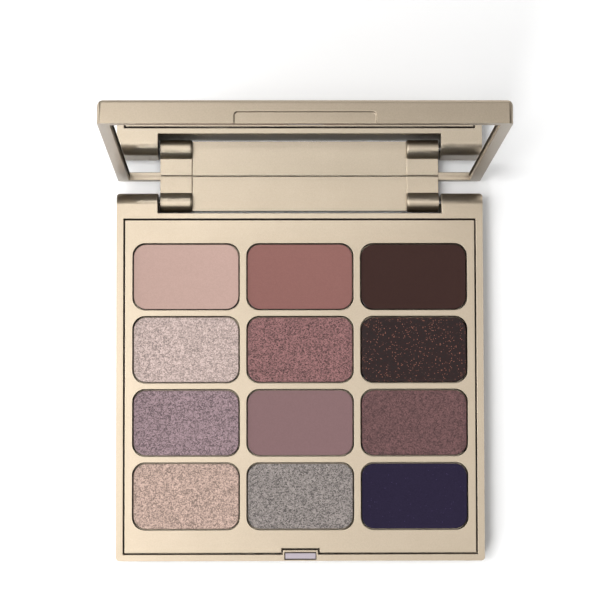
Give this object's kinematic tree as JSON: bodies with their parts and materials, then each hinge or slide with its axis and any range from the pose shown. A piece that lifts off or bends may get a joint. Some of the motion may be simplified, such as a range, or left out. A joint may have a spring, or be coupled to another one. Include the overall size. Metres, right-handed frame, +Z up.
{
  "type": "eyeshadow palette",
  "caption": "Square mirrored compact with rounded rectangular wells of pressed powder in a drop-in tray and a lid that swings on rear hinge pins.",
  "frame": {"origin": "centre of the base case's flat underside", "axes": "+X to the user's right, +Y towards the hinge at the rear, +Z up; the lid stands open at the rear"},
  "size_m": [0.1, 0.1126, 0.1025],
  "materials": {
    "champagne_lacquer": "satin champagne-gold metallic lacquer over moulded plastic",
    "pan_aluminium": "drawn thin aluminium, satin",
    "pin_steel": "ground steel pin",
    "catch_nickel": "nickel plated, softly satin",
    "mirror_silver": "clear flat silvered glass mirror",
    "mirror_foam_tape": "dark double-sided foam tape",
    "label_paper": "blank off-white paper label",
    "hot_melt": "translucent cream hot-melt glue",
    "shade_rose_beige": "pressed matte powder, pale rose beige",
    "shade_dusty_rose": "pressed matte powder, dusty rose",
    "shade_espresso": "pressed matte powder, espresso brown",
    "shade_pink_champagne": "pressed shimmer powder, pale pink champagne",
    "shade_rose_copper": "pressed shimmer powder, rose copper",
    "shade_black_plum": "pressed dark powder with scattered copper sparkle",
    "shade_lilac_grey": "pressed shimmer powder, lilac grey",
    "shade_soft_mauve": "pressed matte powder, soft mauve",
    "shade_plum_taupe": "pressed satin powder, plum taupe",
    "shade_rose_gold": "pressed shimmer powder, rose gold",
    "shade_pewter": "pressed shimmer powder, pewter silver",
    "shade_midnight": "pressed matte powder, midnight navy with fine flecks"
  },
  "bodies": {
    "base": {"base_case": "champagne_lacquer", "pan_tray": "champagne_lacquer", "glue_dot_r1_c1": "hot_melt", "pan_r1_c1": "pan_aluminium", "powder_r1_c1": "shade_rose_beige", "glue_dot_r1_c2": "hot_melt", "pan_r1_c2": "pan_aluminium", "powder_r1_c2": "shade_dusty_rose", "glue_dot_r1_c3": "hot_melt", "pan_r1_c3": "pan_aluminium", "powder_r1_c3": "shade_espresso", "glue_dot_r2_c1": "hot_melt", "pan_r2_c1": "pan_aluminium", "powder_r2_c1": "shade_pink_champagne", "glue_dot_r2_c2": "hot_melt", "pan_r2_c2": "pan_aluminium", "powder_r2_c2": "shade_rose_copper", "glue_dot_r2_c3": "hot_melt", "pan_r2_c3": "pan_aluminium", "powder_r2_c3": "shade_black_plum", "glue_dot_r3_c1": "hot_melt", "pan_r3_c1": "pan_aluminium", "powder_r3_c1": "shade_lilac_grey", "glue_dot_r3_c2": "hot_melt", "pan_r3_c2": "pan_aluminium", "powder_r3_c2": "shade_soft_mauve", "glue_dot_r3_c3": "hot_melt", "pan_r3_c3": "pan_aluminium", "powder_r3_c3": "shade_plum_taupe", "glue_dot_r4_c1": "hot_melt", "pan_r4_c1": "pan_aluminium", "powder_r4_c1": "shade_rose_gold", "glue_dot_r4_c2": "hot_melt", "pan_r4_c2": "pan_aluminium", "powder_r4_c2": "shade_pewter", "glue_dot_r4_c3": "hot_melt", "pan_r4_c3": "pan_aluminium", "powder_r4_c3": "shade_midnight", "base_magnet": "catch_nickel", "hinge_pin_left": "pin_steel", "hinge_pin_right": "pin_steel", "base_label": "label_paper"},
    "lid": {"lid_shell": "champagne_lacquer", "mirror": "mirror_silver", "mirror_tape": "mirror_foam_tape", "lid_keeper": "catch_nickel"}
  },
  "joints": [
    {"name": "lid_hinge", "type": "hinge", "parent": "base", "child": "lid", "pos_m": [0, 0.04795, 0.00464], "axis": [1, 0, 0], "range_deg": [0, 91.5]}
  ]
}
